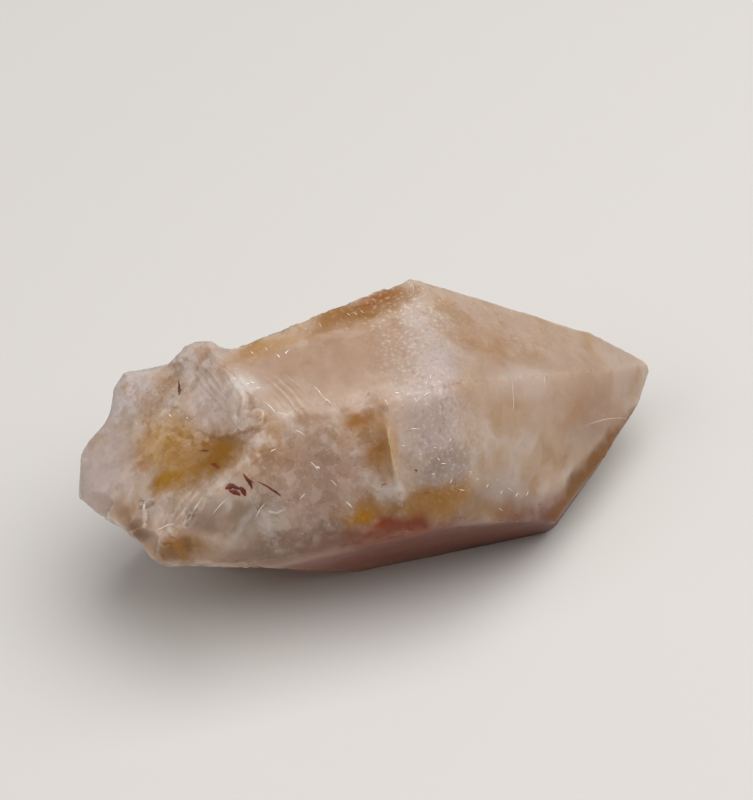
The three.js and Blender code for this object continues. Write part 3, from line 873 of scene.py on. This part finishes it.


# ---- Healed cracks and painted glints ----------------------------------------------------
# Cracks that healed while the crystal grew, sealed in its skin: slits and feathers of pearly white. Their
# white is partly the cracks' own and partly painted glints: the sparks and glints are bright white grains
# that stand in for light reflected off the cracks. Each is a thin flat grain; the finest are drawn up to 0.1
# mm wide so that they show.
SLIT_THICKNESS = 0.05
SLIT_SINK = 0.0
SLIT_BOW = 0.05
SLITS = (
    # Sparks in the veil at the shoulder, painted glints.
    ((0.0, 8.0, 27.0), (-0.1, 7.0, 27.0), 0.09), ((0.9, 8.0, 26.3), (0.9, 6.8, 26.3), 0.07),
    ((1.7, 7.5, 25.8), (1.5, 6.4, 25.9), 0.06), ((-0.7, 5.5, 27.0), (-0.8, 4.6, 27.0), 0.06),
    ((-5.1, -7.0, 27.0), (-4.7, -7.2, 27.0), 0.17), ((-3.5, -7.9, 26.8), (-3.1, -8.3, 26.1), 0.10),
    ((-2.4, -8.0, 26.6), (-1.7, -7.9, 26.9), 0.15), ((-2.4, -8.3, 26.2), (-1.9, -8.7, 25.4), 0.07),
    ((-1.2, -5.4, 27.0), (-1.3, -6.2, 27.0), 0.09), ((-6.3, -7.7, 27.0), (-6.2, -7.9, 26.9), 0.14),
    ((-4.3, -9.6, 23.9), (-3.5, -9.6, 23.8), 0.09), ((-5.5, -10.3, 22.7), (-5.1, -10.4, 22.5), 0.10),
    ((-2.3, -10.7, 21.9), (-2.0, -10.8, 21.7), 0.12), ((-3.9, -10.9, 21.6), (-3.6, -11.0, 21.4), 0.11),
    ((-1.9, -11.7, 20.3), (-1.3, -11.7, 20.2), 0.11), ((-1.3, -12.8, 18.3), (-0.9, -12.6, 18.7), 0.10),
    ((3.0, -9.7, 17.8), (3.3, -9.6, 17.6), 0.10), ((7.7, -6.5, 15.4), (8.0, -6.4, 15.0), 0.09),
    ((0.9, -11.5, 18.3), (1.2, -11.4, 17.9), 0.10), ((3.9, -10.4, 15.2), (4.2, -10.4, 14.7), 0.07),
    ((1.6, -11.7, 17.0), (2.2, -11.5, 16.8), 0.10), ((2.6, -11.6, 15.4), (3.1, -11.2, 15.5), 0.14),
    ((4.2, -11.2, 13.6), (4.6, -10.9, 13.8), 0.10), ((5.2, -10.6, 13.6), (5.9, -10.6, 12.9), 0.08),
    ((6.0, -10.5, 11.9), (6.3, -10.2, 12.1), 0.16), ((7.2, -9.9, 11.0), (7.7, -9.3, 11.2), 0.09),
    ((3.4, -12.0, 12.6), (4.0, -12.0, 12.0), 0.08), ((-0.4, -12.9, 17.4), (0.2, -12.9, 17.0), 0.10),
    ((-3.0, -12.0, 19.6), (-2.6, -12.1, 19.4), 0.12), ((-2.2, -11.2, 21.0), (-1.9, -11.5, 20.5), 0.09),
    ((-0.6, -10.6, 22.0), (-0.1, -10.4, 22.2), 0.10), ((-3.2, -10.4, 22.6), (-2.9, -10.6, 22.2), 0.09),
    # Long cracks across the tip faces.
    ((7.3, -2.9, 21.6), (7.4, -4.0, 20.3), 0.10), ((7.4, -3.9, 20.4), (7.1, -5.1, 18.8), 0.10),
    ((11.4, -0.3, 18.9), (11.1, -1.8, 17.7), 0.10), ((15.3, -1.7, 10.8), (21.3, 1.9, 6.9), 0.07),
    # Painted glints along the back of the top.
    ((-18.0, 2.7, 27.0), (-17.8, 2.2, 27.0), 0.14), ((-15.5, 1.5, 27.0), (-15.3, 0.8, 27.0), 0.19),
    ((-14.7, 1.2, 27.0), (-14.2, 1.7, 27.0), 0.19), ((-16.5, 2.8, 27.0), (-16.3, 2.2, 27.0), 0.10),
    ((-12.0, 4.6, 27.0), (-12.0, 4.0, 27.0), 0.09), ((-10.5, 4.8, 27.0), (-10.4, 4.0, 27.0), 0.07),
    ((-7.5, 5.4, 27.0), (-7.2, 4.9, 27.0), 0.09), ((-6.8, 5.4, 27.0), (-6.5, 4.8, 27.0), 0.09),
    ((-6.1, 5.5, 27.0), (-5.8, 4.9, 27.0), 0.09),
    # Feathers in the ledges.
    ((-20.4, -0.5, 26.8), (-20.2, -0.9, 26.9), 0.19), ((-19.4, -1.9, 27.0), (-18.2, -1.9, 27.0), 0.16),
    ((-19.0, -2.9, 27.0), (-17.8, -2.7, 27.0), 0.16), ((-18.0, -4.6, 27.0), (-17.1, -6.4, 27.0), 0.12),
    ((-17.1, -6.4, 27.0), (-15.9, -7.1, 26.9), 0.10), ((-12.7, -4.1, 27.0), (-12.2, -5.7, 27.0), 0.14),
    ((-12.2, -5.7, 27.0), (-11.5, -6.7, 26.8), 0.12), ((-23.6, 3.3, 25.7), (-21.3, -2.4, 25.1), 0.07),
    ((-22.9, 3.0, 26.0), (-20.8, -2.2, 25.6), 0.09), ((-21.4, 1.8, 26.6), (-19.6, -2.6, 26.4), 0.07),
    ((-17.4, -1.1, 27.0), (-14.9, -7.1, 26.8), 0.06), ((-16.4, -1.3, 27.0), (-14.2, -6.6, 27.0), 0.07),
    ((-15.4, -1.4, 27.0), (-13.2, -6.3, 27.0), 0.06),
    # Streaks, and sparks that are painted glints, in the front and the foot of the slope.
    ((-27.6, -12.0, 19.8), (-26.0, -10.6, 21.1), 0.12), ((-21.3, -12.6, 18.5), (-19.7, -11.6, 19.8), 0.10),
    ((-30.8, -10.7, 18.2), (-28.9, -11.2, 19.2), 0.14), ((-25.1, -11.9, 19.9), (-23.5, -11.3, 21.0), 0.10),
    ((-31.6, -7.6, 18.4), (-31.2, -7.2, 18.8), 0.31), ((-32.0, -6.6, 18.4), (-30.7, -7.0, 18.9), 0.07),
    ((-12.9, -10.6, 20.4), (-12.3, -10.9, 19.7), 0.10), ((-14.6, -9.7, 22.3), (-14.0, -10.1, 21.4), 0.12),
    ((-14.1, -10.0, 21.8), (-13.8, -10.2, 21.6), 0.21), ((-15.5, -8.0, 25.4), (-14.6, -8.3, 24.6), 0.12),
    ((-18.3, -9.0, 24.1), (-17.7, -8.9, 24.2), 0.15), ((-11.8, -11.8, 18.1), (-11.3, -12.1, 17.4), 0.15),
    ((-16.3, -11.6, 19.2), (-15.6, -11.3, 19.6), 0.14), ((-27.3, 0.2, 22.9), (-27.1, -0.2, 22.9), 0.16),
    ((-25.7, -1.0, 23.2), (-25.5, -1.2, 23.2), 0.14), ((-30.7, 1.6, 21.2), (-30.7, 1.4, 21.2), 0.12),
)
slits = grains("healed_cracks_and_painted_glints", SLITS, SLIT_THICKNESS, SLIT_SINK, SLIT_BOW)

# Healed quartz full of tiny bubbles: pearly white, glossier than the milk around it. Its bright white is
# partly painted glint.
BUBBLE_GRAIN = 0.3 * MM
PEARLY_CLEAR = 0.2
pearly = bpy.data.materials.new("healed quartz with painted glints")
pearly.use_nodes = True
tree = pearly.node_tree
object_place = add(tree, "ShaderNodeTexCoord").outputs["Object"]
bubbles = add(tree, "ShaderNodeTexNoise", {"Vector": object_place, "Scale": 1 / BUBBLE_GRAIN, "Detail": 2})
bubbles = add(tree, "ShaderNodeMapRange", {0: bubbles.outputs["Fac"], 1: 0.35, 2: 0.65}).outputs[0]
white = add(tree, "ShaderNodeMix", {0: bubbles, 6: linear("#D2C4BA"), 7: linear("#F4EEE8")}, data_type="RGBA")
surface = tree.nodes["Principled BSDF"]
tree.links.new(white.outputs[2], surface.inputs["Base Color"])
surface.inputs["Roughness"].default_value = 0.15
surface.inputs["IOR"].default_value = QUARTZ_IOR
surface.inputs["Transmission Weight"].default_value = PEARLY_CLEAR
slits.data.materials.append(pearly)
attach(slits, "root")


# ---- Floor, light and camera -------------------------------------------------------------
# A sheet of pale paper, a big soft key lamp high on the right, a weaker one on the left, and a
# little light from the room. The camera looks down at the front of the crystal.
FLOOR_SIDE = 3.0
bm = bmesh.new()
bmesh.ops.create_grid(bm, x_segments=1, y_segments=1, size=FLOOR_SIDE / 2)
floor_mesh = bpy.data.meshes.new("floor")
bm.to_mesh(floor_mesh)
bm.free()
floor = bpy.data.objects.new("floor", floor_mesh)
bpy.context.scene.collection.objects.link(floor)
paper = bpy.data.materials.new("pale paper")
paper.use_nodes = True
paper.node_tree.nodes["Principled BSDF"].inputs["Base Color"].default_value = linear("#C4C3C2")
paper.node_tree.nodes["Principled BSDF"].inputs["Roughness"].default_value = 0.9
floor.data.materials.append(paper)


MID_HEIGHT = 0.013


def lamp(name, azimuth, elevation, distance, size, power, tint):
    """A square soft light that looks at the crystal from this direction."""
    light = bpy.data.lights.new(name, "AREA")
    light.size = size
    light.energy = power
    light.color = linear(tint)[:3]
    holder = bpy.data.objects.new(name, light)
    turn, rise = math.radians(azimuth), math.radians(elevation)
    way = Vector((math.sin(turn) * math.cos(rise), -math.cos(turn) * math.cos(rise), math.sin(rise)))
    holder.location = way * distance + Vector((0, 0, MID_HEIGHT))
    holder.rotation_euler = way.to_track_quat("Z", "Y").to_euler()
    bpy.context.scene.collection.objects.link(holder)


lamp("key", 78, 70, 0.6, 0.7, 5.8, "#FFFBF6")
lamp("fill", -75, 48, 0.8, 0.6, 1.9, "#FFFCFA")

world = bpy.data.worlds.new("soft room")
world.use_nodes = True
world.node_tree.nodes["Background"].inputs["Color"].default_value = linear("#E8E6E3")
world.node_tree.nodes["Background"].inputs["Strength"].default_value = 0.16
bpy.context.scene.world = world
bpy.context.scene.view_settings.view_transform = "Standard"

CAMERA_AZIMUTH = -7.57
CAMERA_ELEVATION = 44.88
CAMERA_ROLL = -6.0
CAMERA_DISTANCE = 260
VIEW_HEIGHT = 86.72
SENSOR = 36
NEAREST, FARTHEST = 0.01, 20
aim = place(-4.86, 9.20, 10.0)
azimuth, elevation = math.radians(CAMERA_AZIMUTH), math.radians(CAMERA_ELEVATION)
back = Vector((
    math.sin(azimuth) * math.cos(elevation),
    -math.cos(azimuth) * math.cos(elevation),
    math.sin(elevation),
))
camera = bpy.data.objects.new("camera", bpy.data.cameras.new("camera"))
camera.data.sensor_width = SENSOR
camera.data.lens = SENSOR * CAMERA_DISTANCE / VIEW_HEIGHT
camera.location = aim + back * CAMERA_DISTANCE * MM
level = back.to_track_quat("Z", "Y")
camera.rotation_euler = (level.to_matrix() @ Matrix.Rotation(math.radians(CAMERA_ROLL), 3, "Z")).to_euler()
camera.data.clip_start = NEAREST
camera.data.clip_end = FARTHEST
bpy.context.scene.collection.objects.link(camera)
bpy.context.scene.camera = camera
